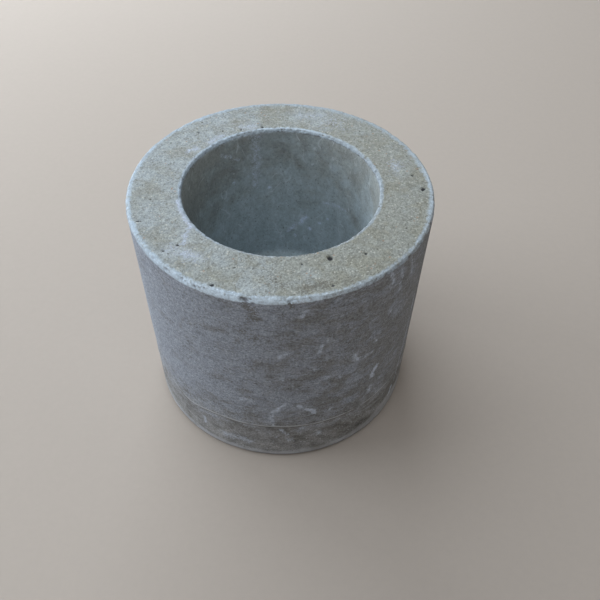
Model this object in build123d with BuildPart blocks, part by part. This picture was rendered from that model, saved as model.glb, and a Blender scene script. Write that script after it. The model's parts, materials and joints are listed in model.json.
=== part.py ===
from build123d import *
import math
import os

# Pen holder cup: a thick-walled straight cylinder cast in concrete, with a round blind well for
# pens, standing on four thin rubber pads. Millimetres, +Z up. The origin is the centre of the
# footprint, on the surface that the cup stands on.

# Driving dimensions of the casting
outer_diameter = 102.0
body_height = 89.0
well_diameter = 66.0
well_depth = 62.5

# Edges of the casting, all of them worn round
rim_edge_radius = 1.5
mouth_edge_radius = 1.0
base_edge_radius = 0.8
well_corner_radius = 2.0

# Raised line round the wall, where the two parts of the mould met
seam_height_above_base = 20.3
seam_width = 0.9
seam_proud = 0.25

# Foot pads
pad_count = 4
pad_diameter = 14.0
pad_thickness = 1.0
pad_edge_radius = 0.3
pad_circle_radius = 36.0
first_pad_angle = 45.0

# Levels and radii that follow from them
outer_radius = outer_diameter / 2
well_radius = well_diameter / 2
base_level = pad_thickness
rim_level = base_level + body_height
floor_level = rim_level - well_depth
seam_level = base_level + seam_height_above_base

os.makedirs("parts", exist_ok=True)


# Concrete body: one casting, with the wall, the rim and the thick floor all in one piece
with BuildPart() as cup_body:
    with BuildSketch(Plane.XY.offset(base_level)):
        Circle(outer_radius)
    extrude(amount=body_height)
    fillet(cup_body.faces().sort_by(Axis.Z)[-1].edges(), radius=rim_edge_radius)
    fillet(cup_body.faces().sort_by(Axis.Z)[0].edges(), radius=base_edge_radius)

    with BuildSketch(Plane.XY.offset(rim_level)):
        Circle(well_radius)
    extrude(amount=-well_depth, mode=Mode.SUBTRACT)
    mouth_edges = cup_body.edges().filter_by(GeomType.CIRCLE).filter_by(
        lambda edge: math.isclose(edge.radius, well_radius)
    )
    fillet(mouth_edges.sort_by(Axis.Z)[-1], radius=mouth_edge_radius)
    fillet(mouth_edges.sort_by(Axis.Z)[0], radius=well_corner_radius)

    # The seam's section is a low arch on the wall, turned once round the axis
    with BuildSketch(Plane.XZ):
        with BuildLine():
            seam_arch = ThreePointArc(
                (outer_radius, seam_level - seam_width / 2),
                (outer_radius + seam_proud, seam_level),
                (outer_radius, seam_level + seam_width / 2),
            )
            seam_root = outer_radius - seam_proud
            Polyline(
                seam_arch @ 1,
                (seam_root, seam_level + seam_width / 2),
                (seam_root, seam_level - seam_width / 2),
                seam_arch @ 0,
            )
        make_face()
    revolve(axis=Axis.Z)

cup_body.part.label = "cup_body"
export_step(cup_body.part, "parts/cup_body.step")


# Foot pads: thin rubber discs stuck to the underside, set in from the edge
for number in range(1, pad_count + 1):
    pad_angle = math.radians(first_pad_angle + (number - 1) * 360 / pad_count)
    pad_centre = (pad_circle_radius * math.cos(pad_angle), pad_circle_radius * math.sin(pad_angle), 0)
    with BuildPart() as foot_pad:
        with BuildSketch(Plane(origin=pad_centre)):
            Circle(pad_diameter / 2)
        extrude(amount=pad_thickness)
        fillet(foot_pad.faces().sort_by(Axis.Z)[0].edges(), radius=pad_edge_radius)
    foot_pad.part.label = f"foot_pad_{number}"
    export_step(foot_pad.part, f"parts/foot_pad_{number}.step")
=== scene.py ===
import itertools
import json
import math

import bpy
import numpy as np
from mathutils import Matrix, Vector


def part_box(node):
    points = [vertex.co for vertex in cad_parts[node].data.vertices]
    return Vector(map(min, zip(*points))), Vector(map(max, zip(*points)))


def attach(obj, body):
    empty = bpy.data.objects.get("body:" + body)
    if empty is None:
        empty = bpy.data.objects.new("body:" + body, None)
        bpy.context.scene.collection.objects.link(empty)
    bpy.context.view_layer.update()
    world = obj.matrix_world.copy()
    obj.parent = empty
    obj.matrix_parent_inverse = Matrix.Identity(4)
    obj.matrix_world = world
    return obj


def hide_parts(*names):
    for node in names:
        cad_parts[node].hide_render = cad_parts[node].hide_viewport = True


# Pen holder cup: the visible casting and its foot pads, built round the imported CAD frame.
# Shapes are worked out in millimetres and turned into metres when a mesh is made.
# Angles go anticlockwise seen from above: 0 is +X, 90 the back, 180 the left, 270 the front.

MM = 0.001
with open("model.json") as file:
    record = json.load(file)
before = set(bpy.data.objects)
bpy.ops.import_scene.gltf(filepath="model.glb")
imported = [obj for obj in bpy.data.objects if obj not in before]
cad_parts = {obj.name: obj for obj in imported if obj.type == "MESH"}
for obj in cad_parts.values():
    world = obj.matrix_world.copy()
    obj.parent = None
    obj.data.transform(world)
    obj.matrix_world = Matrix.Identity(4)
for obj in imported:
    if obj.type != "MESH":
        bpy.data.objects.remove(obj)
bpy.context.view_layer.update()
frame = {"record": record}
record = frame["record"]


# ---------------------------------------------------------------- sizes, from the frame
body_low, body_high = (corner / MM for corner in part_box("cup_body"))
well_mount = next(mount for mount in record["mounts"] if mount["name"] == "pen_well")

# The frame doesn't carry these, so they repeat the part's source
SEAM_PROUD = 0.25
SEAM_HALF_WIDTH = 0.45
SEAM_ABOVE_BASE = 20.3
RIM_EDGE = 1.5
MOUTH_EDGE = 1.0
BASE_EDGE = 0.8
WELL_CORNER = 2.0

BASE = body_low.z
TOP = body_high.z
WALL_RADIUS = body_high.x - SEAM_PROUD
WELL_RADIUS = well_mount["dims"]["r_mm"]
WELL_FLOOR = well_mount["pos_m"][2] / MM - well_mount["dims"]["length_mm"] / 2 - WELL_CORNER
SEAM_LEVEL = BASE + SEAM_ABOVE_BASE


# ---------------------------------------------------------------- noise
def gradient_noise(points, seed):
    """Smooth noise, about -1 to 1, with one cell per unit of length."""
    draw = np.random.default_rng(seed)
    order = np.tile(draw.permutation(256), 2)
    slopes = draw.normal(size=(256, 3))
    slopes /= np.linalg.norm(slopes, axis=1)[:, None]
    cell = np.floor(points).astype(int)
    part = points - cell
    cell &= 255
    fade = part**3 * (part * (part * 6 - 15) + 10)
    total = np.zeros(len(points))
    for corner in itertools.product((0, 1), repeat=3):
        x, y, z = ((cell + corner) & 255).T
        slope = slopes[order[order[order[x] + y] + z]]
        weight = np.prod(np.where(corner, fade, 1 - fade), axis=1)
        total += weight * np.einsum("ij,ij->i", slope, part - corner)
    return total * 1.6


def fractal(points, size, seed, octaves=3, gain=0.5):
    """Layers of noise: the first has features of about size millimetres, each next one half that."""
    total = np.zeros(len(points))
    for octave in range(octaves):
        total += gain**octave * gradient_noise(points * 2**octave / size, seed + octave)
    return total


def around(size, seed, octaves=3):
    """The same kind of noise at each of ANGLES, taken round a circle as wide as the wall."""
    circle = WALL_RADIUS * np.column_stack([np.cos(ANGLES), np.sin(ANGLES), np.zeros(SEGMENTS)])
    return fractal(circle, size, seed, octaves)


def smooth(low, high, value):
    """0 below low, 1 above high, and a soft step between."""
    share = np.clip((value - low) / (high - low), 0, 1)
    return share * share * (3 - 2 * share)


def bump(angle, middle, spread):
    """1 at the middle angle and falling away on both sides of it. The middle and spread are in degrees."""
    off = (np.degrees(angle) - middle + 180) % 360 - 180
    return np.exp(-((off / spread) ** 2))


# ---------------------------------------------------------------- places on the cup
def at(radius, angle, height):
    turn = math.radians(angle)
    return np.array([radius * math.cos(turn), radius * math.sin(turn), height])


def on_wall(angle, above_base):
    return at(WALL_RADIUS, angle, BASE + above_base)


def on_rim(angle, radius):
    return at(radius, angle, TOP)


def in_well(angle, below_rim):
    return at(WELL_RADIUS, angle, TOP - below_rim)


def distance_to_line(points, line):
    """How far each point is from a chain of straight stretches, or from a single spot."""
    nearest = np.linalg.norm(points - line[0], axis=1)
    for start, end in zip(line, line[1:]):
        along = end - start
        share = np.clip((points - start) @ along / (along @ along), 0, 1)
        nearest = np.minimum(nearest, np.linalg.norm(points - start - share[:, None] * along, axis=1))
    return nearest


# ---------------------------------------------------------------- outline of the casting
SEGMENTS = 720
ANGLES = np.arange(SEGMENTS) * 2 * math.pi / SEGMENTS


def bend(start, corner, end, share, flatness=0.15):
    """A worn corner: a curve from start to end that a flatness of 1 would make a plain bevel."""
    middle = [corner[i] * (1 - flatness) + (start[i] + end[i]) / 2 * flatness for i in (0, 1)]
    return [
        start[i] * (1 - share) ** 2 + middle[i] * 2 * share * (1 - share) + end[i] * share**2
        for i in (0, 1)
    ]


def straight(start, end, share):
    return [start[i] * (1 - share) + end[i] * share for i in (0, 1)]


def wall_shares(low, high):
    """Even rows up the wall, with closer ones over the seam line."""
    rows = [row for row in np.arange(low, high, 1.0) if abs(row - SEAM_LEVEL) > 1.2]
    rows += list(SEAM_LEVEL + np.linspace(-0.9, 0.9, 13))
    return (np.array(sorted(rows)) - low) / (high - low)


def rows_of(length, spacing):
    """Shares for even rows about so far apart, without the first and the last."""
    return np.arange(1, round(length / spacing)) / round(length / spacing)


def outline():
    """Rows of points from the middle of the underside, up the wall and down the well to its floor.
    Each row is (zone, share of the zone, radius at each angle, height at each angle, stride)."""
    rim = RIM_EDGE * (0.75 + 0.10 * around(30, 11) + 0.10 * around(3, 12, 2))
    rubbed = RIM_EDGE * 0.75 * bump(ANGLES, 243, 34) * (1 + 0.3 * around(8, 13, 3))
    mouth = MOUTH_EDGE * (0.75 + 0.14 * around(16, 21) + 0.16 * around(2, 22, 2))
    base = BASE_EDGE * (1.3 + 0.20 * around(20, 31) + 0.15 * around(3, 32, 2))
    level = np.ones(SEGMENTS)
    wall, well, axis = WALL_RADIUS * level, WELL_RADIUS * level, 0 * level
    bottom, top, floor = BASE * level, TOP * level, WELL_FLOOR * level
    corner = WELL_CORNER * level
    rim_low = top - rim - rubbed
    edge_shares = np.linspace(0, 1, 8)
    base_shares = np.append(0, rows_of(WALL_RADIUS - BASE_EDGE, 1.6))
    side_shares = wall_shares(BASE + BASE_EDGE, TOP - RIM_EDGE)[1:]
    face_shares = rows_of(WALL_RADIUS - RIM_EDGE - WELL_RADIUS - MOUTH_EDGE, 0.48)
    well_shares = rows_of(TOP - MOUTH_EDGE - WELL_FLOOR - WELL_CORNER, 1.3)
    floor_shares = np.append(rows_of(WELL_RADIUS - WELL_CORNER, 1.2), 1)
    zones = [
        ("underside", straight, [(axis, bottom), (wall - base, bottom)], base_shares),
        ("base_edge", bend, [(wall - base, bottom), (wall, bottom), (wall, bottom + base)], edge_shares),
        ("wall", straight, [(wall, bottom + base), (wall, rim_low)], side_shares),
        ("rim_edge", bend, [(wall, rim_low), (wall, top), (wall - rim, top)], np.linspace(0, 1, 10)),
        ("top", straight, [(wall - rim, top), (well + mouth, top)], face_shares),
        ("mouth_edge", bend, [(well + mouth, top), (well, top), (well, top - mouth)], edge_shares),
        ("well", straight, [(well, top - mouth), (well, floor + corner)], well_shares),
        ("corner", bend, [(well, floor + corner), (well, floor), (well - corner, floor)], edge_shares),
        ("floor", straight, [(well - corner, floor), (axis, floor)], floor_shares),
    ]
    rows = []
    for zone, shape, corners, shares in zones:
        for share in shares:
            radius, height = shape(*corners, share)
            if zone == "wall":
                follow = np.exp(-(((height - SEAM_LEVEL) / 8) ** 2))
                height = height + follow * (seam_level_at(ANGLES) - SEAM_LEVEL)
            rows.append((zone, share, radius, height, stride_for(zone, radius.mean(), share)))
    return rows


def stride_for(zone, radius, share):
    """How many of the finest steps round the axis one step of this row takes."""
    if zone in ("rim_edge", "top", "mouth_edge") or (zone == "well" and share < 0.04):
        return 1
    if zone in ("base_edge", "wall", "well", "corner"):
        return 2
    return next(stride for stride, least in ((2, 44), (4, 22), (8, 11), (16, 0)) if radius >= least)


def grid_normals(points):
    """The outward direction at each point of a grid of rows, from its neighbours."""
    along = np.gradient(points, axis=0)
    across = np.roll(points, -1, axis=1) - np.roll(points, 1, axis=1)
    normals = np.cross(across, along)
    length = np.linalg.norm(normals, axis=2, keepdims=True)
    normals = normals / np.maximum(length, 1e-12)
    normals[0], normals[-1] = (0, 0, -1), (0, 0, 1)
    return normals


def faces_between(low, high):
    """Faces that join two closed rows, given as lists of vertex numbers. One may have twice as many."""
    if len(high) == 1:
        return [(a, b, high[0]) for a, b in zip(low, low[1:] + low[:1])]
    if len(low) == 1:
        return [(low[0], b, a) for a, b in zip(high, high[1:] + high[:1])]
    count = min(len(low), len(high))
    faces = []
    for i in range(count):
        n = (i + 1) % count
        if len(low) == len(high):
            faces.append((low[i], low[n], high[n], high[i]))
        elif len(low) > len(high):
            after = low[(2 * i + 2) % len(low)]
            faces += [(low[2 * i], low[2 * i + 1], high[i])]
            faces += [(low[2 * i + 1], high[n], high[i]), (low[2 * i + 1], after, high[n])]
        else:
            after = high[(2 * i + 2) % len(high)]
            faces += [(low[i], high[2 * i + 1], high[2 * i])]
            faces += [(low[i], low[n], high[2 * i + 1]), (low[n], after, high[2 * i + 1])]
    return faces


# ---------------------------------------------------------------- pores, chips and dents
# Pores in the rim: angle, radius, half width, depth
RIM_PORES = [
    (293, 37.1, 0.95, 1.2),
    (308, 41.2, 0.50, 0.5),
    (358, 47.5, 0.70, 0.8),
    (357, 47.0, 0.50, 0.6),
    (7, 45.0, 0.50, 0.6),
    (101, 34.9, 0.55, 0.6),
    (246, 49.2, 0.60, 0.5),
    (288, 47.8, 0.50, 0.4),
    (222, 42.3, 0.48, 0.4),
    (201, 48.2, 0.48, 0.4),
]

# Bites out of the outer edge of the rim: angle, depth below the rim, half width, depth
RIM_CHIPS = [
    (256.8, 0.9, 0.8, 0.35),
    (258.2, 1.5, 1.1, 0.50),
    (259.8, 1.0, 0.7, 0.35),
    (260.3, 2.2, 0.8, 0.30),
    (272.3, 1.7, 0.6, 0.35),
    (272.2, 0.9, 0.5, 0.35),
    (273.2, 0.4, 0.5, 0.30),
    (242.4, 1.3, 0.6, 0.30),
    (243.6, 0.6, 0.6, 0.25),
    (240.0, 1.3, 0.6, 0.30),
    (235.0, 1.0, 0.7, 0.30),
    (236.2, 1.3, 0.5, 0.25),
    (228.0, 0.8, 0.7, 0.30),
    (221.0, 0.6, 0.6, 0.25),
    (294.5, 0.4, 0.5, 0.25),
    (299.0, 0.5, 0.5, 0.20),
    (303.0, 0.4, 0.5, 0.25),
    (63.0, 0.5, 0.9, 0.35),
    (61.5, 0.4, 0.6, 0.30),
    (118.0, 0.6, 0.7, 0.30),
    (31.0, 0.5, 0.6, 0.25),
    (339.0, 0.5, 0.6, 0.25),
]

# Pale marks of lime and dust on the wall: line of (angle, height above the base), half width, strength
PALE_ON_WALL = [
    ([(310, 40.5), (308, 38), (308.5, 35.5)], 1.5, 1.3),
    ([(308, 30), (308, 27)], 1.5, 0.8),
    ([(271, 35.5), (269, 33), (266, 30)], 1.0, 1.1),
    ([(266, 30), (265.5, 26)], 1.0, 0.8),
    ([(266, 25), (266, 21)], 0.9, 0.8),
    ([(276, 33.5), (277.5, 32.5)], 1.1, 1.6),
    ([(279, 31), (282, 29.5), (282.5, 27.5)], 1.1, 1.5),
    ([(269, 18.5), (272, 15)], 1.0, 1.0),
    ([(254, 36), (258, 36.5)], 1.8, 0.6),
    ([(278, 83.5), (276, 81)], 1.1, 0.9),
    ([(284, 66), (283, 62.5)], 0.9, 1.0),
    ([(298, 55), (299, 52)], 2.2, 0.7),
    ([(303, 51.5), (306, 52)], 1.1, 0.7),
    ([(310, 87), (312, 82.5)], 1.1, 1.0),
    ([(315, 87), (317, 81)], 0.9, 0.7),
    ([(316, 79), (317, 75)], 1.0, 0.6),
    ([(321, 87), (323, 79)], 0.9, 0.6),
    ([(245, 8), (249, 9)], 2.4, 0.6),
    ([(253, 9), (256, 8)], 2.4, 0.6),
    ([(235, 13.5), (235, 10)], 1.1, 0.8),
    ([(233, 16.5), (244, 18.6), (255, 19)], 0.5, 0.8),
    ([(334, 60), (334, 44), (332, 30), (329, 14)], 0.7, 0.8),
    ([(327, 12), (325, 8)], 1.2, 1.1),
    ([(258, 36.5)], 0.8, 1.6),
    ([(269, 62)], 1.1, 1.5),
    ([(271, 63.5)], 2.0, 0.7),
    ([(267, 81)], 1.7, 0.8),
    ([(286, 67.5)], 0.8, 1.4),
    ([(307, 57)], 1.4, 0.8),
    ([(313, 67.5)], 1.1, 1.0),
    ([(287, 48)], 1.9, 0.7),
    ([(292, 46)], 1.7, 0.7),
    ([(270, 50)], 1.6, 0.7),
    ([(289, 27.5)], 1.6, 0.7),
    ([(278, 19)], 1.3, 1.1),
    ([(267, 13.5)], 1.1, 0.9),
    ([(266, 10)], 0.8, 1.3),
    ([(273, 11.5)], 1.8, 0.8),
    ([(285, 13.5)], 2.1, 0.7),
    ([(239, 33.5)], 0.9, 1.0),
    ([(234, 30)], 0.9, 0.9),
    ([(217, 80.5)], 1.0, 1.0),
    ([(222, 66)], 1.2, 0.8),
]

# The same on the rim: line of (angle, radius), half width, strength
PALE_ON_RIM = [
    ([(192, 34.3), (199, 34.3), (208, 34.3), (216, 34.6)], 1.2, 1.3),
    ([(216, 35.5), (220, 38.5), (223, 41)], 1.3, 0.75),
    ([(223, 44.5), (233, 42)], 3.2, 0.42),
    ([(144, 36), (149, 38)], 1.6, 0.7),
    ([(106, 36.5), (113, 37)], 2.6, 0.55),
    ([(126, 35.5), (136, 35.5)], 1.6, 0.55),
    ([(70, 44), (80, 43)], 2.6, 0.35),
    ([(60, 41.5), (67, 42)], 4.5, 0.30),
    ([(12, 40.5), (17, 41)], 2.4, 0.40),
]

# The same in the well: line of (angle, depth below the rim), half width, strength
PALE_IN_WELL = [
    ([(106, 2), (107, 13), (108, 24)], 3.0, 0.32),
    ([(72, 41), (76, 45)], 1.4, 1.0),
    ([(80, 46), (86, 50)], 1.1, 0.7),
    ([(60, 31), (50, 30), (40, 29)], 0.9, 0.7),
    ([(131, 6), (124, 8.5), (116, 12)], 1.0, 0.6),
    ([(62, 42)], 1.2, 1.3),
    ([(69, 47)], 1.4, 1.3),
    ([(80, 52)], 1.2, 1.2),
    ([(56, 39)], 1.0, 1.2),
    ([(98, 27)], 1.0, 1.6),
    ([(123, 20)], 1.0, 1.2),
    ([(104, 9)], 0.9, 1.0),
]

# Nicks in the edge of the mouth: angle, half width, depth
MOUTH_NICKS = [
    (101, 0.5, 0.30),
    (105, 0.7, 0.35),
    (110, 0.6, 0.30),
    (113, 0.5, 0.35),
    (117, 0.6, 0.30),
    (122, 0.5, 0.25),
    (131, 0.6, 0.30),
    (44, 0.5, 0.25),
    (27, 0.6, 0.30),
    (13, 0.8, 0.40),
    (10, 0.7, 0.40),
]

# Brown and dark stains on the wall and on the rim
STAINS_ON_WALL = [
    ([(258, 86.5), (260, 84), (261, 80)], 2.8, 0.9),
    ([(273, 87.5), (273.5, 86)], 1.5, 0.9),
    ([(256, 73), (262, 70)], 3.2, 0.5),
]
STAINS_ON_RIM = [
    ([(277, 47.3), (285, 46.8)], 3.2, 0.75),
    ([(266, 43.5), (272, 45)], 3.2, 0.5),
    ([(292, 47.5), (297, 46.5)], 2.2, 0.45),
]


def scattered(count, seed, lows, highs):
    """Seeded random rows of numbers, each between its low and its high."""
    return [tuple(row) for row in np.random.default_rng(seed).uniform(lows, highs, (count, len(lows)))]


def scattered_marks(count, seed):
    """Pale marks for the sides and the back of the wall: short, and steeper than they are level."""
    marks = []
    for angle, height, lean, length, half_width, strength in scattered(
        count, seed, (-25, 5, -3, -6, 0.7, 0.20), (205, 84, 3, 6, 1.7, 0.75)
    ):
        marks.append(([(angle, height), (angle + lean, height + length)], half_width, strength))
    return marks


# Small holes at seeded places. The wall's are only on its sides and its back
MORE_RIM_PORES = scattered(6, 83, (0, WELL_RADIUS + 2, 0.32, 0.25), (360, WALL_RADIUS - 2.5, 0.46, 0.4))
MORE_NICKS = scattered(22, 85, (0, 0.35, 0.15), (360, 0.65, 0.30))
WALL_HOLES = scattered(12, 87, (-10, 4, 0.8), (190, 86, 1.1))
UNDERSIDE_HOLES = scattered(30, 89, (0, 3, 0.9), (360, 48, 1.7))
WALL_HOLE_DEPTH = 0.5
UNDERSIDE_HOLE_DEPTH = 0.6


# ---------------------------------------------------------------- skin of the casting
class Skin:
    """Every point of the casting, with its outward direction, its zone and its share of the way along it."""

    def __init__(self, rows):
        radius = np.array([row[2] for row in rows])
        height = np.array([row[3] for row in rows])
        grid = np.stack([radius * np.cos(ANGLES), radius * np.sin(ANGLES), height], axis=2)
        self.rings, kept = [], []
        for number, (_, _, _, _, stride) in enumerate(rows):
            picks = [0] if radius[number].max() < 0.01 else range(0, SEGMENTS, stride)
            self.rings.append(list(range(len(kept), len(kept) + len(picks))))
            kept += [(number, pick) for pick in picks]
        row_of, pick_of = np.array(kept).T
        self.points = grid[row_of, pick_of]
        self.outward = grid_normals(grid)[row_of, pick_of]
        self.zone = np.array([row[0] for row in rows])[row_of]
        self.share = np.array([row[1] for row in rows])[row_of]
        self.angle = np.arctan2(self.points[:, 1], self.points[:, 0]) % (2 * math.pi)
        self.spread = np.hypot(self.points[:, 0], self.points[:, 1])
        self.top = self.on("top") + self.on("rim_edge") * self.share
        self.top += self.on("mouth_edge") * (1 - self.share)
        self.side = self.on("wall", "base_edge")
        self.inside = self.on("well", "corner", "floor")
        self.under = self.on("underside")

    def on(self, *zones):
        """1 at the points in these zones and 0 at the others."""
        return np.where(np.isin(self.zone, zones), 1.0, 0.0)

    def level(self):
        """The points brought down to one level, for noise that only changes round the axis."""
        return self.points * (1, 1, 0)


def swell_of(skin):
    """How deep each zone's own unevenness sinks its points: broad swells, and a finer tooth."""
    points = skin.points
    sink = skin.top * (0.10 + 0.09 * fractal(points, 11, 41) + 0.045 * fractal(points, 1.1, 45, 2, 0.7))
    sink += skin.side * (0.06 + 0.07 * fractal(points, 24, 51) + 0.012 * fractal(points, 2.2, 55, 2))
    sink += skin.inside * (0.10 * fractal(points, 20, 61) + 0.02 * fractal(points, 3, 65, 2))
    sink += skin.under * (0.10 + 0.10 * fractal(points, 9, 71) + 0.04 * fractal(points, 1.8, 75, 2))
    edges = skin.on("rim_edge", "mouth_edge")
    return sink + edges * (0.06 + 0.13 * fractal(points, 2.2, 77, 3, 0.65))


def hollow(points, centre, half_width, depth, ragged):
    """How deep a small bowl with an uneven outline sinks each point."""
    far = np.linalg.norm(points - centre, axis=1) * ragged / half_width
    return depth * np.sqrt(np.clip(1 - far**2, 0, 1))


def holes_of(skin):
    """How deep pores, chips and nicks sink each point, and how far into a pore and into a chip it is. How
    far into a pore sets the painted shade inside it.
    """
    points = skin.points
    ragged = 1 + 0.22 * fractal(points, 1.2, 81, 2)
    sink, pore_shade, bitten = np.zeros((3, len(points)))
    for angle, radius, half_width, depth in RIM_PORES + MORE_RIM_PORES:
        bowl = hollow(points, on_rim(angle, radius), half_width, depth, ragged) * skin.top
        sink += bowl
        pore_shade = np.maximum(pore_shade, bowl / depth)
    for angle, below_rim, half_width, depth in RIM_CHIPS:
        bowl = hollow(points, at(WALL_RADIUS, angle, TOP - below_rim), half_width, depth, ragged)
        sink += bowl
        bitten = np.maximum(bitten, np.minimum(1, bowl / 0.5))
    for angle, half_width, depth in MOUTH_NICKS + MORE_NICKS:
        bowl = hollow(points, at(WELL_RADIUS + 0.25, angle, TOP - 0.25), half_width, depth, ragged)
        sink += bowl
        bitten = np.maximum(bitten, 0.6 * bowl / depth)
    for angle, above_base, half_width in WALL_HOLES:
        bowl = hollow(points, on_wall(angle, above_base), half_width, WALL_HOLE_DEPTH, ragged) * skin.side
        sink += bowl
        pore_shade = np.maximum(pore_shade, 0.35 * bowl / WALL_HOLE_DEPTH)
    for angle, radius, half_width in UNDERSIDE_HOLES:
        bowl = hollow(points, at(radius, angle, BASE), half_width, UNDERSIDE_HOLE_DEPTH, ragged) * skin.under
        sink += bowl
        pore_shade = np.maximum(pore_shade, bowl / UNDERSIDE_HOLE_DEPTH)
    return sink, pore_shade, bitten


def seam_level_at(angle):
    """The height of the seam line, which dips on the left."""
    return SEAM_LEVEL + 0.5 - 2.6 * bump(angle, 228, 9)


def seam_of(skin):
    """How far each point is above the seam line, which wanders a little, and how far the seam raises it."""
    above_seam = skin.points[:, 2] - seam_level_at(skin.angle) - 0.25 * fractal(skin.level(), 9, 93, 2)
    seam = np.exp(-((above_seam / (SEAM_HALF_WIDTH * 0.55)) ** 2)) * skin.side
    seam *= np.clip(0.62 + 0.5 * fractal(skin.level(), 6, 91, 2), 0.1, 1)
    return above_seam, seam * (SEAM_PROUD - 0.06)


def height_over_band(skin):
    """How far each point is above the paste-rich band at the foot of the wall, which grows on the right."""
    band_top = 3.4 + 0.8 * fractal(skin.level(), 14, 95, 3) + 6 * bump(skin.angle, 326, 16)
    return skin.points[:, 2] - BASE - band_top


def beyond_edge(skin, bitten):
    """How far each point is outside a limed edge, in millimetres. Less lime there makes it further."""
    angle, share, height = skin.angle, skin.share, skin.points[:, 2]
    rim_bare = 0.15 * bump(angle, 305, 40)
    face_bare = 0.40 * bump(angle, 262, 60)
    low_bare = 0.9 * (1 - bump(angle, 256, 56))
    mouth_bare = 0.9 * bump(angle, 275, 50)
    backness = 0.5 + 0.5 * np.cos(angle - math.radians(65))
    off_rim = (WALL_RADIUS - RIM_EDGE * 0.8 - skin.spread) * (1.3 - 0.7 * backness)
    off_mouth = skin.spread - WELL_RADIUS - MOUTH_EDGE * 0.8
    rim_drop = RIM_EDGE * (0.75 + 0.75 * bump(angle, 243, 34))
    zones = {
        "rim_edge": rim_bare + face_bare * share + low_bare * (1 - share),
        "mouth_edge": mouth_bare,
        "top": np.minimum(off_rim + rim_bare + face_bare, off_mouth * 1.6 + mouth_bare),
        "wall": (TOP - rim_drop - height) * 2 + rim_bare + low_bare,
        "well": (TOP - MOUTH_EDGE - height) * 2 + mouth_bare - 0.7 * bump(angle, 110, 45),
    }
    beyond = np.full(len(angle), 9.0)
    for zone, distance in zones.items():
        beyond = np.where(skin.zone == zone, distance, beyond)
    return beyond + 1.3 * bitten


def lime_and_highlight_of(skin):
    """How bright the lime is on the outer edge and on the mouth's. At the front the outer edge is made
    brighter, most on its upward slope: a painted highlight on the lime.
    """
    angle = skin.angle
    slope = np.interp(skin.share, (0, 0.5, 1), (0.35, 1.0, 0.0))
    slope_for_highlight = np.where(skin.zone == "rim_edge", slope, 0.35 * skin.side)
    outer_lime_and_highlight = 0.80 + 0.26 * bump(angle, 355, 28) + 0.15 * bump(angle, 190, 35)
    # Painted highlight: the front of the outer edge is made brighter, most on its upward slope
    outer_lime_and_highlight += 0.30 * bump(angle, 255, 26) + 0.30 * bump(angle, 284, 18)
    outer_lime_and_highlight *= 1 + 0.40 * slope_for_highlight * bump(angle, 255, 45)
    mouth_lime = 0.74 + 0.44 * bump(angle, 100, 60)
    return np.where(skin.spread > (WALL_RADIUS + WELL_RADIUS) / 2, outer_lime_and_highlight, mouth_lime)


def cover_of(points, place, marks):
    """How strongly marks cover each point: each mark's own strength on its line, falling to 0 at its edge
    and below 0 beyond. The points are shaken a little first, which makes the marks uneven."""
    shaken = points + 0.5 * np.column_stack([fractal(points, 3.5, seed, 3) for seed in (101, 105, 109)])
    cover = np.full(len(points), -1.0)
    for line, half_width, strength in marks:
        spots = [place(*spot) for spot in line]
        near = strength * (1 - distance_to_line(shaken, spots) / half_width)
        cover = np.maximum(cover, near)
    return cover


def pale_of(points):
    pale = cover_of(points, on_wall, PALE_ON_WALL + scattered_marks(34, 97))
    pale = np.maximum(pale, cover_of(points, on_rim, PALE_ON_RIM))
    return np.maximum(pale, cover_of(points, in_well, PALE_IN_WELL))


def stain_of(points, bitten):
    stain = np.maximum(cover_of(points, on_wall, STAINS_ON_WALL), cover_of(points, on_rim, STAINS_ON_RIM))
    return np.maximum(stain, 0.55 * bitten - 0.1)


def film_of(points, is_top, is_well):
    """How much bluish lime film lies on the paste, from 0 to 1: most on the left, and deep in the well. Less
    on the left side of the well, which makes it darker there as painted shade.
    """
    angle = np.arctan2(points[:, 1], points[:, 0])
    depth = TOP - points[:, 2]
    wall_film = 0.47 + 0.45 * np.cos(angle - math.radians(200))
    rim_film = 0.40 + 0.40 * np.cos(angle - math.radians(165))
    well_film_and_shade = 0.38 + 0.70 * smooth(0, 52, depth)
    # Less film on the left side of the well makes it darker there: painted shade
    well_film_and_shade -= 0.45 * bump(angle, 172, 38) + 0.15 * bump(angle, 20, 40)
    film = wall_film + is_top * (rim_film - wall_film) + is_well * (well_film_and_shade - wall_film)
    return film + 0.22 * fractal(points, 14, 121, 3)


def held_in(points):
    """The points, none of them outside the box of the CAD body."""
    spread = np.hypot(points[:, 0], points[:, 1])
    hold = np.minimum(1, (WALL_RADIUS + SEAM_PROUD) / np.maximum(spread, 1e-9))
    height = np.clip(points[:, 2], BASE, TOP)
    return np.column_stack([points[:, :2] * hold[:, None], height])


def build_casting():
    skin = Skin(outline())
    holes, pore_shade, bitten = holes_of(skin)
    above_seam, seam = seam_of(skin)
    sink = swell_of(skin) + holes - seam
    points = held_in(skin.points - skin.outward * sink[:, None])
    faces = []
    for low, high in zip(skin.rings, skin.rings[1:]):
        faces += faces_between(low, high)
    casting = make_piece("cup_casting", points, faces)
    paint(casting, "sand", skin.top)
    paint(casting, "inside", skin.inside)
    paint(casting, "under", skin.under)
    # How far into a pore each point is, for the painted shade inside pores and holes
    paint(casting, "pore_shade", pore_shade)
    paint(casting, "pale", pale_of(points))
    paint(casting, "stain", stain_of(points, bitten))
    # The film also carries painted shade on the left side of the well
    paint(casting, "film", film_of(points, skin.top, skin.inside))
    paint(casting, "beyond_edge", beyond_edge(skin, bitten))
    # The lime brightness includes a painted highlight at the front of the outer edge
    paint(casting, "lime", lime_and_highlight_of(skin))
    paint(casting, "above_seam", above_seam)
    paint(casting, "above_band", height_over_band(skin))
    return casting


# ---------------------------------------------------------------- foot pads
PAD_SEGMENTS = 64


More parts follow.
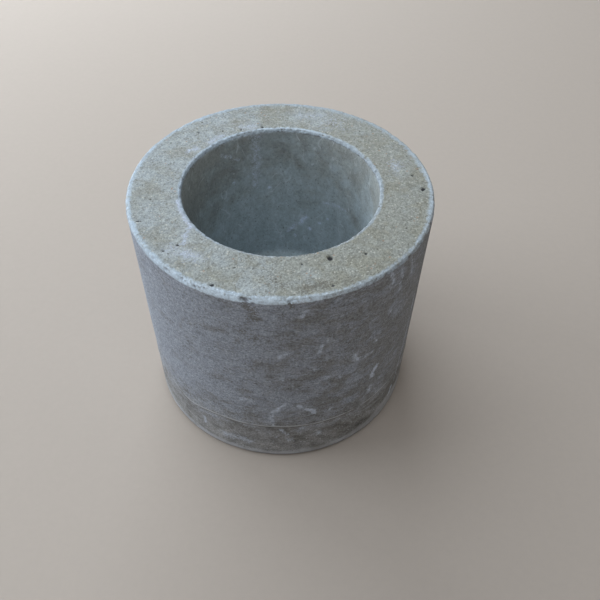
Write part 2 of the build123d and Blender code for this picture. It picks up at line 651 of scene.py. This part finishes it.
def build_pad(name, node, turn):
    """A stuck-on rubber foot: flat where it is glued, with a rounded rim and a moulding ring below."""
    low, high = (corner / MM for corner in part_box(node))
    middle = (low + high) / 2
    radius, thickness = (high.x - low.x) / 2, high.z - low.z
    edge = thickness * 0.35
    rows = [(0, thickness), (radius * 0.5, thickness), (radius - 0.25, thickness)]
    rows += [(radius - 0.08, thickness * 0.92), (radius, thickness * 0.75), (radius, edge)]
    for step in (1, 2, 3, 4):
        turned = math.radians(90 * step / 4)
        rows.append((radius - edge * (1 - math.cos(turned)), edge * (1 - math.sin(turned))))
    ring = radius * 0.62
    rows += [(ring + 0.45, 0.0), (ring + 0.22, 0.05), (ring + 0.1, 0.14)]
    rows += [(ring - 0.1, 0.14), (ring - 0.22, 0.05), (ring - 0.45, 0.02)]
    rows += [(radius * 0.3, 0.05), (radius * 0.12, 0.06), (0, 0.06)]
    angles = np.arange(PAD_SEGMENTS) * 2 * math.pi / PAD_SEGMENTS + turn
    points, rings = [], []
    for row_radius, height in rows:
        spokes = angles if row_radius > 0 else angles[:1]
        rings.append(list(range(len(points), len(points) + len(spokes))))
        points += [
            (middle.x + row_radius * math.cos(a), middle.y + row_radius * math.sin(a), low.z + height)
            for a in spokes
        ]
    faces = []
    for upper, lower in zip(rings, rings[1:]):
        faces += [face[::-1] for face in faces_between(upper, lower)]
    return make_piece(name, np.array(points), faces)


def make_piece(name, points, faces):
    mesh = bpy.data.meshes.new(name)
    mesh.from_pydata((points * MM).tolist(), [], faces)
    mesh.validate()
    mesh.shade_smooth()
    piece = bpy.data.objects.new(name, mesh)
    bpy.context.scene.collection.objects.link(piece)
    return piece


def paint(piece, name, values):
    """Stores one number for each vertex, which a material reads by name."""
    layer = piece.data.attributes.new(name, "FLOAT", "POINT")
    layer.data.foreach_set("value", np.asarray(values, np.float32))


# ---------------------------------------------------------------- materials
class Recipe:
    """A material, with short names for the nodes that it is mixed from. Sizes are in millimetres."""

    def __init__(self, name, roughness, specular=0.5):
        self.material = bpy.data.materials.new(name)
        self.material.use_nodes = True
        self.tree = self.material.node_tree
        self.shader = self.tree.nodes["Principled BSDF"]
        self.shader.inputs["Specular IOR Level"].default_value = specular
        self.shader.inputs["Roughness"].default_value = roughness
        self.place = self.tree.nodes.new("ShaderNodeTexCoord").outputs["Object"]

    def set(self, socket, value):
        if isinstance(value, bpy.types.NodeSocket):
            self.tree.links.new(value, socket)
        elif isinstance(value, tuple) and len(value) == 3 and socket.type == "RGBA":
            socket.default_value = (*value, 1)
        else:
            socket.default_value = value

    def near(self, stretch, shift=0):
        """Places in millimetres, squeezed along each axis by stretch."""
        node = self.tree.nodes.new("ShaderNodeMapping")
        self.set(node.inputs["Vector"], self.place)
        node.inputs["Scale"].default_value = [1 / (MM * length) for length in stretch]
        node.inputs["Location"].default_value = (shift, shift * 0.7, shift * 1.3)
        return node.outputs["Vector"]

    def noise(self, stretch, shift=0, detail=3.0, gain=0.5, twist=0.0):
        """Noise from 0 to 1 whose features are as long as stretch says along each axis."""
        node = self.tree.nodes.new("ShaderNodeTexNoise")
        stretch = (stretch,) * 3 if isinstance(stretch, (int, float)) else stretch
        self.set(node.inputs["Vector"], self.near(stretch, shift))
        node.inputs["Scale"].default_value = 1.0
        node.inputs["Detail"].default_value = detail
        node.inputs["Roughness"].default_value = gain
        node.inputs["Distortion"].default_value = twist
        return node.outputs["Fac"]

    def grains(self, size, shift=0):
        """Cells about size across: the distance to the cell's middle, and the cell's own random number."""
        node = self.tree.nodes.new("ShaderNodeTexVoronoi")
        self.set(node.inputs["Vector"], self.near((size,) * 3, shift))
        node.inputs["Scale"].default_value = 1.0
        split = self.tree.nodes.new("ShaderNodeSeparateColor")
        self.set(split.inputs[0], node.outputs["Color"])
        return node.outputs["Distance"], split.outputs[0]

    def height(self):
        """Height above the surface that the cup stands on, in millimetres."""
        split = self.tree.nodes.new("ShaderNodeSeparateXYZ")
        self.set(split.inputs[0], self.near((1, 1, 1)))
        return split.outputs["Z"]

    def painted(self, name):
        node = self.tree.nodes.new("ShaderNodeAttribute")
        node.attribute_name = name
        return node.outputs["Fac"]

    def sum(self, *terms):
        return self.chain("ADD", terms)

    def product(self, *terms):
        return self.chain("MULTIPLY", terms)

    def largest(self, *terms):
        return self.chain("MAXIMUM", terms)

    def chain(self, operation, terms):
        total = terms[0]
        for term in terms[1:]:
            node = self.tree.nodes.new("ShaderNodeMath")
            node.operation = operation
            self.set(node.inputs[0], total)
            self.set(node.inputs[1], term)
            total = node.outputs[0]
        return total

    def scaled(self, value, factor, shift=0.0):
        """value times factor plus shift."""
        node = self.tree.nodes.new("ShaderNodeMath")
        node.operation = "MULTIPLY_ADD"
        self.set(node.inputs[0], value)
        self.set(node.inputs[1], factor)
        self.set(node.inputs[2], shift)
        return node.outputs[0]

    def step(self, value, low, high, to=1.0):
        """0 on the low side, to on the high side, and a soft step between. low may be the larger number."""
        node = self.tree.nodes.new("ShaderNodeMapRange")
        node.interpolation_type = "SMOOTHSTEP"
        self.set(node.inputs["Value"], value)
        bounds = (low, high, 0.0, to) if low < high else (high, low, to, 0.0)
        for name, bound in zip(("From Min", "From Max", "To Min", "To Max"), bounds):
            node.inputs[name].default_value = bound
        return node.outputs["Result"]

    def over(self, below, above, share):
        """The colour above laid over the colour below."""
        node = self.tree.nodes.new("ShaderNodeMix")
        node.data_type = "RGBA"
        self.set(node.inputs["Factor"], share)
        self.set(node.inputs[6], below)
        self.set(node.inputs[7], above)
        return node.outputs[2]

    def lit(self, colour, factor):
        """The colour made lighter or darker by a factor."""
        node = self.tree.nodes.new("ShaderNodeVectorMath")
        node.operation = "SCALE"
        self.set(node.inputs[0], colour)
        self.set(node.inputs["Scale"], factor)
        return node.outputs[0]

    def relief(self, height, depth_mm):
        """Fine bumps: height from 0 to 1 over a depth in millimetres."""
        node = self.tree.nodes.new("ShaderNodeBump")
        node.inputs["Distance"].default_value = depth_mm * MM
        self.set(node.inputs["Height"], height)
        self.set(self.shader.inputs["Normal"], node.outputs["Normal"])

    def finish(self, colour, roughness=None):
        self.set(self.shader.inputs["Base Color"], colour)
        if roughness is not None:
            self.set(self.shader.inputs["Roughness"], roughness)
        return self.material


def film_on(mix, shift):
    """The painted film, made patchy."""
    patches = mix.noise((9, 9, 6), shift, 5.0, 0.62, 0.3)
    return mix.step(mix.sum(mix.painted("film"), mix.scaled(patches, 1.7, -0.85)), 0.05, 0.95)


def dots(mix, size, shift, most, reach):
    """Small round dots, from 0 to 1: one in each cell whose random number is under most."""
    middle, number = mix.grains(size, shift)
    return mix.product(mix.step(number, most, most * 0.9), mix.step(middle, reach, reach * 0.6))


def rim_colour(mix):
    """Sandy face: olive-grey paste under a bluish film, which is worn off in patches."""
    film = film_on(mix, 3)
    worn_off = mix.step(mix.noise(7, 8, 5.0, 0.62, 0.8), 0.45, 0.64)
    paste = mix.over((0.292, 0.305, 0.277), (0.352, 0.392, 0.406), film)
    paste = mix.over(paste, (0.225, 0.212, 0.150), mix.scaled(worn_off, 0.38))
    cloud = mix.noise(2.0, 4, 4.0, 0.6)
    _, sand = mix.grains(0.55, 5)
    dust = mix.noise(0.6, 6, 3.0, 0.7)
    light = mix.sum(mix.scaled(cloud, 0.55), mix.scaled(sand, 0.36), mix.scaled(dust, 0.90, 0.095))
    paste = mix.lit(paste, light)
    paste = mix.over(paste, (0.155, 0.145, 0.115), mix.scaled(dots(mix, 0.9, 1, 0.16, 0.45), 0.55))
    paste = mix.over(paste, (0.56, 0.555, 0.500), mix.scaled(dots(mix, 0.9, 7, 0.12, 0.40), 0.60))
    paste = mix.over(paste, (0.36, 0.235, 0.165), mix.scaled(dots(mix, 1.2, 13, 0.035, 0.40), 0.55))
    return mix.over(paste, (0.060, 0.057, 0.050), mix.scaled(dots(mix, 1.7, 9, 0.045, 0.24), 0.80))


def wall_colour(mix):
    """Mould-smooth face: grey paste and bluish film, browner low down, with level streaks and specks, and
    painted contact shade along its lowest edge.
    """
    patches = mix.noise((7, 7, 4.5), 11, 5.0, 0.65, 0.5)
    film = mix.step(mix.sum(mix.painted("film"), mix.scaled(patches, 2.3, -1.15)), 0.12, 0.88)
    tone = mix.over((0.193, 0.200, 0.208), (0.278, 0.310, 0.364), film)
    mottle = mix.noise((2.6, 2.6, 1.6), 17, 4.0, 0.62)
    blotch = mix.noise((7, 7, 5), 18, 4.0, 0.62, 0.4)
    near_seam = mix.sum(mix.painted("above_seam"), mix.scaled(blotch, 44, -20), mix.scaled(mottle, 8, -4))
    low = mix.step(near_seam, 15.0, -8.0, 0.88)
    low_tone = mix.over((0.152, 0.149, 0.139), (0.256, 0.258, 0.257), film)
    tone = mix.over(tone, mix.lit(low_tone, mix.scaled(blotch, 1.8, 0.08)), low)
    streak = mix.noise((6, 6, 0.5), 15, 3.0, 0.6)
    dashes = mix.noise((1.3, 1.3, 0.42), 16, 2.0, 0.6)
    grain = mix.noise(0.62, 19, 3.0, 0.75)
    light = mix.sum(mix.scaled(streak, 0.35), mix.scaled(mottle, 0.60), mix.scaled(dashes, 0.75))
    tone = mix.lit(tone, mix.sum(light, mix.scaled(grain, 2.25, -0.975)))
    scratch = mix.step(mix.noise((14, 14, 0.35), 21, 3.0, 0.6), 0.585, 0.66, 0.38)
    tone = mix.over(tone, (0.110, 0.110, 0.112), scratch)
    cluster = mix.step(mix.noise(8, 23, 3.0, 0.6), 0.42, 0.64)
    fleck = mix.step(mix.noise((0.9, 0.9, 0.7), 25, 2.0, 0.6), 0.585, 0.70)
    tone = mix.over(tone, (0.46, 0.485, 0.52), mix.product(cluster, fleck, mix.scaled(low, 0.50, 0.50)))
    tone = mix.over(tone, (0.085, 0.083, 0.080), mix.scaled(dots(mix, 1.9, 27, 0.07, 0.20), 0.7))
    band = mix.step(mix.sum(mix.painted("above_band"), mix.scaled(mottle, 3.0, -1.5)), 0.9, -1.0, 0.8)
    tone = mix.over(tone, mix.over((0.300, 0.308, 0.315), (0.420, 0.440, 0.480), film), band)
    # Painted contact shade: the wall's lowest edge is darker, but the underside isn't
    painted_contact_shade = mix.sum(mix.step(mix.height(), 1.2, 2.7, 0.62), 0.38)
    return mix.lit(tone, mix.largest(painted_contact_shade, mix.scaled(mix.painted("under"), 0.9)))


def well_colour(mix):
    """Inside of the well: smooth, bluer with depth, with soft stains, flecks and the creases of a liner."""
    film = film_on(mix, 31)
    tone = mix.over((0.292, 0.313, 0.303), (0.415, 0.488, 0.524), film)
    cloud = mix.noise((5, 5, 12), 32, 4.0, 0.6, 0.6)
    mottle = mix.noise((2.2, 2.2, 3.2), 34, 3.0, 0.6, 0.4)
    grain = mix.noise((0.8, 0.8, 1.0), 33, 3.0, 0.65)
    light = mix.sum(mix.scaled(cloud, 0.45), mix.scaled(mottle, 0.50), mix.scaled(grain, 0.70, 0.175))
    tone = mix.lit(tone, light)
    swirl = mix.scaled(mix.noise((13, 13, 22), 36, 1.5, 0.45, 1.2), 1, -0.5)
    crease = mix.product(mix.step(mix.product(swirl, swirl), 0.00012, 0.0), mix.step(cloud, 0.46, 0.58))
    dust = (0.60, 0.66, 0.71)
    tone = mix.over(tone, dust, mix.scaled(crease, 0.60))
    cluster = mix.step(mix.noise(9, 37), 0.42, 0.60)
    fleck = mix.step(mix.noise(1.1, 35, 3.0, 0.6), 0.64, 0.74)
    return mix.over(tone, dust, mix.product(fleck, cluster, 0.6))


def concrete():
    mix = Recipe("cast_concrete", 0.88, 0.35)
    ragged = mix.scaled(mix.noise(1.3, 41, 4.0, 0.72), 1.0, -0.5)
    sandy = mix.step(mix.sum(mix.painted("sand"), mix.scaled(ragged, 0.5)), 0.42, 0.60)
    inside = mix.step(mix.painted("inside"), 0.4, 0.6)
    colour = mix.over(wall_colour(mix), well_colour(mix), inside)
    colour = mix.over(colour, rim_colour(mix), sandy)

    broken = mix.sum(mix.scaled(ragged, 2.0), mix.scaled(mix.noise(0.55, 42, 2.0, 0.7), 1.8, -0.9))
    stain = mix.step(mix.sum(mix.painted("stain"), mix.scaled(broken, 1.6)), 0.10, 1.00, 0.72)
    colour = mix.over(colour, (0.120, 0.112, 0.092), stain)
    pale = mix.step(mix.sum(mix.painted("pale"), broken), -0.02, 0.95, 0.92)
    glare = mix.sum(mix.scaled(mix.noise(0.7, 46, 3.0, 0.7), 1.3, 0.35), mix.scaled(inside, 0.36))
    chalk = mix.lit((0.470, 0.530, 0.635), glare)
    colour = mix.over(colour, chalk, pale)

    # Along the seam's ridge: the dark line under it is a painted shadow, and the pale line on it is a
    # painted highlight, both in patches
    seam = mix.painted("above_seam")
    shadow_under_seam = mix.product(mix.step(seam, 0.05, -0.45), mix.step(seam, -1.15, -0.60))
    highlight_on_seam = mix.product(mix.step(seam, -0.50, -0.18), mix.step(seam, 0.52, 0.20))
    seen = mix.step(mix.noise((5, 5, 5), 43, 3.0, 0.6), 0.30, 0.56)
    colour = mix.over(colour, (0.13, 0.125, 0.115), mix.product(shadow_under_seam, seen, 0.7))
    colour = mix.over(colour, (0.395, 0.412, 0.430), mix.product(highlight_on_seam, seen, 0.8))

    lime = mix.over((0.420, 0.488, 0.545), (0.455, 0.550, 0.640), film_on(mix, 44))
    mealy = mix.scaled(mix.noise(0.9, 45, 3.0, 0.7), 1.2, 0.40)
    # The painted lime brightness includes a painted highlight at the front of the outer edge
    lime = mix.lit(lime, mix.product(mix.painted("lime"), mealy))
    patchy = mix.scaled(mix.noise(4, 47, 3.0, 0.6), 1.6, -0.8)
    worn = mix.step(mix.sum(mix.painted("beyond_edge"), mix.scaled(ragged, 2.8), patchy), 1.20, 0.05, 0.94)
    colour = mix.over(colour, lime, worn)
    # Painted shade: pores and holes are darkened nearly black inside
    colour = mix.over(colour, (0.045, 0.048, 0.055), mix.step(mix.painted("pore_shade"), 0.15, 0.60, 0.9))

    middle, _ = mix.grains(0.62, 5)
    sand = mix.sum(mix.scaled(middle, -0.5, 0.5), mix.scaled(mix.noise(0.7, 6, 3.0), 0.6))
    level_lines = mix.noise((5, 5, 0.4), 53, 3.0, 0.6)
    tooth = mix.noise(0.6, 55, 3.0)
    fine = mix.sum(mix.scaled(level_lines, 0.5), mix.scaled(tooth, 0.6))
    mix.relief(mix.sum(mix.product(sand, sandy), mix.scaled(fine, 0.5)), 0.20)
    return mix.finish(colour)


def pad_rubber():
    """Dark grey rubber: matt, finely pebbled, with grey dust in the pebbling."""
    mix = Recipe("pad_rubber", 0.72, 0.4)
    pebble, number = mix.grains(0.35, 71)
    dust = mix.noise(1.8, 73, 4.0, 0.65)
    tone = mix.over((0.022, 0.022, 0.024), (0.038, 0.037, 0.038), number)
    tone = mix.over(tone, (0.150, 0.145, 0.138), mix.step(dust, 0.50, 0.78, 0.6))
    mix.relief(mix.sum(mix.scaled(pebble, -0.6, 0.6), mix.scaled(dust, 0.3)), 0.05)
    return mix.finish(tone, mix.scaled(dust, 0.3, 0.58))


def floor_paint():
    """A plain pale surface, with just enough tooth to look real."""
    mix = Recipe("floor_paint", 0.85, 0.3)
    tooth = mix.noise(2.5, 61, 4.0, 0.6)
    return mix.finish(mix.lit((0.43, 0.380, 0.335), mix.scaled(tooth, 0.06, 0.97)))


# ---------------------------------------------------------------- pieces
casting = build_casting()
casting.data.materials.append(concrete())
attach(casting, "root")
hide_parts("cup_body")

rubber = pad_rubber()
for number in (1, 2, 3, 4):
    pad = build_pad(f"foot_rubber_{number}", f"foot_pad_{number}", number * 0.7)
    pad.data.materials.append(rubber)
    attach(pad, "root")
    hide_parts(f"foot_pad_{number}")


# ---------------------------------------------------------------- floor, lights and camera
def add_floor():
    """A round studio floor that sweeps up into its own backdrop."""
    flat, sweep, top, spokes = 1.9, 0.7, 3.5, 96
    rows = [(0.0, 0.0), (flat / 3, 0.0), (flat, 0.0)]
    for turn in np.linspace(0.1, 1.5, 12):
        rows.append((flat + sweep * math.sin(turn), sweep * (1 - math.cos(turn))))
    rows += [(flat + sweep, sweep), (flat + sweep, top)]
    points, rings = [], []
    for radius, height in rows:
        count = spokes if radius > 0 else 1
        rings.append(list(range(len(points), len(points) + count)))
        turns = np.arange(count) * 2 * math.pi / count
        points += [(radius * math.cos(turn), radius * math.sin(turn), height) for turn in turns]
    faces = []
    for inner, outer in zip(rings, rings[1:]):
        faces += [face[::-1] for face in faces_between(inner, outer)]
    floor = make_piece("floor", np.array(points) / MM, faces)
    floor.data.materials.append(floor_paint())


DAYLIGHT = (0.93, 1.0, 1.07)


def add_light(name, angle, elevation, distance, size, power, colour):
    """A soft panel that looks at the cup from an angle round it and an elevation, both in degrees."""
    turn, rise = math.radians(angle), math.radians(elevation)
    back = Vector((math.cos(turn) * math.cos(rise), math.sin(turn) * math.cos(rise), math.sin(rise)))
    data = bpy.data.lights.new(name, "AREA")
    data.shape = "RECTANGLE"
    data.size, data.size_y = size
    data.energy = power
    data.color = colour
    light = bpy.data.objects.new(name, data)
    light.location = Vector((0, 0, TOP * MM / 2)) + distance * back
    light.rotation_euler = (-back).to_track_quat("-Z", "Y").to_euler()
    bpy.context.scene.collection.objects.link(light)


def add_camera():
    """A camera about 22 cm from the middle of the rim and 38 degrees above it, turned a little."""
    rim_middle = Vector((0, 0, TOP * MM))
    distance, rise = 0.22125, math.radians(38.34)
    place = rim_middle + distance * Vector((0, -math.cos(rise), math.sin(rise)))
    aim = Vector((0.0084, 0.0293, 0.0))
    data = bpy.data.cameras.new("camera")
    data.lens, data.sensor_width = 39.3, 36.0
    data.clip_start, data.clip_end = 0.01, 20
    camera = bpy.data.objects.new("camera", data)
    turn = (aim - place).to_track_quat("-Z", "Y").to_matrix().to_4x4()
    roll = Matrix.Rotation(math.radians(1.31), 4, "Z")
    camera.matrix_world = Matrix.Translation(place) @ turn @ roll
    bpy.context.scene.collection.objects.link(camera)
    bpy.context.scene.camera = camera


add_floor()
add_light("window_left", 174, 20, 1.0, (0.7, 0.6), 6.0, DAYLIGHT)
add_light("window_back", 115, 24, 1.0, (1.1, 0.6), 10.7, DAYLIGHT)
add_light("ceiling", 205, 70, 2.8, (3.4, 3.4), 44, DAYLIGHT)
add_light("room", 275, 50, 2.0, (2.2, 2.2), 4.7, (1.0, 0.99, 0.98))
add_light("room_right", 2, 10, 1.0, (0.6, 0.3), 1.10, (0.99, 1.0, 1.01))
world = bpy.data.worlds.new("room")
world.use_nodes = True
glow = world.node_tree.nodes["Background"]
glow.inputs["Color"].default_value = (0.8, 0.9, 1.0, 1)
glow.inputs["Strength"].default_value = 0.03
bpy.context.scene.world = world
add_camera()
bpy.context.scene.view_settings.view_transform = "Standard"
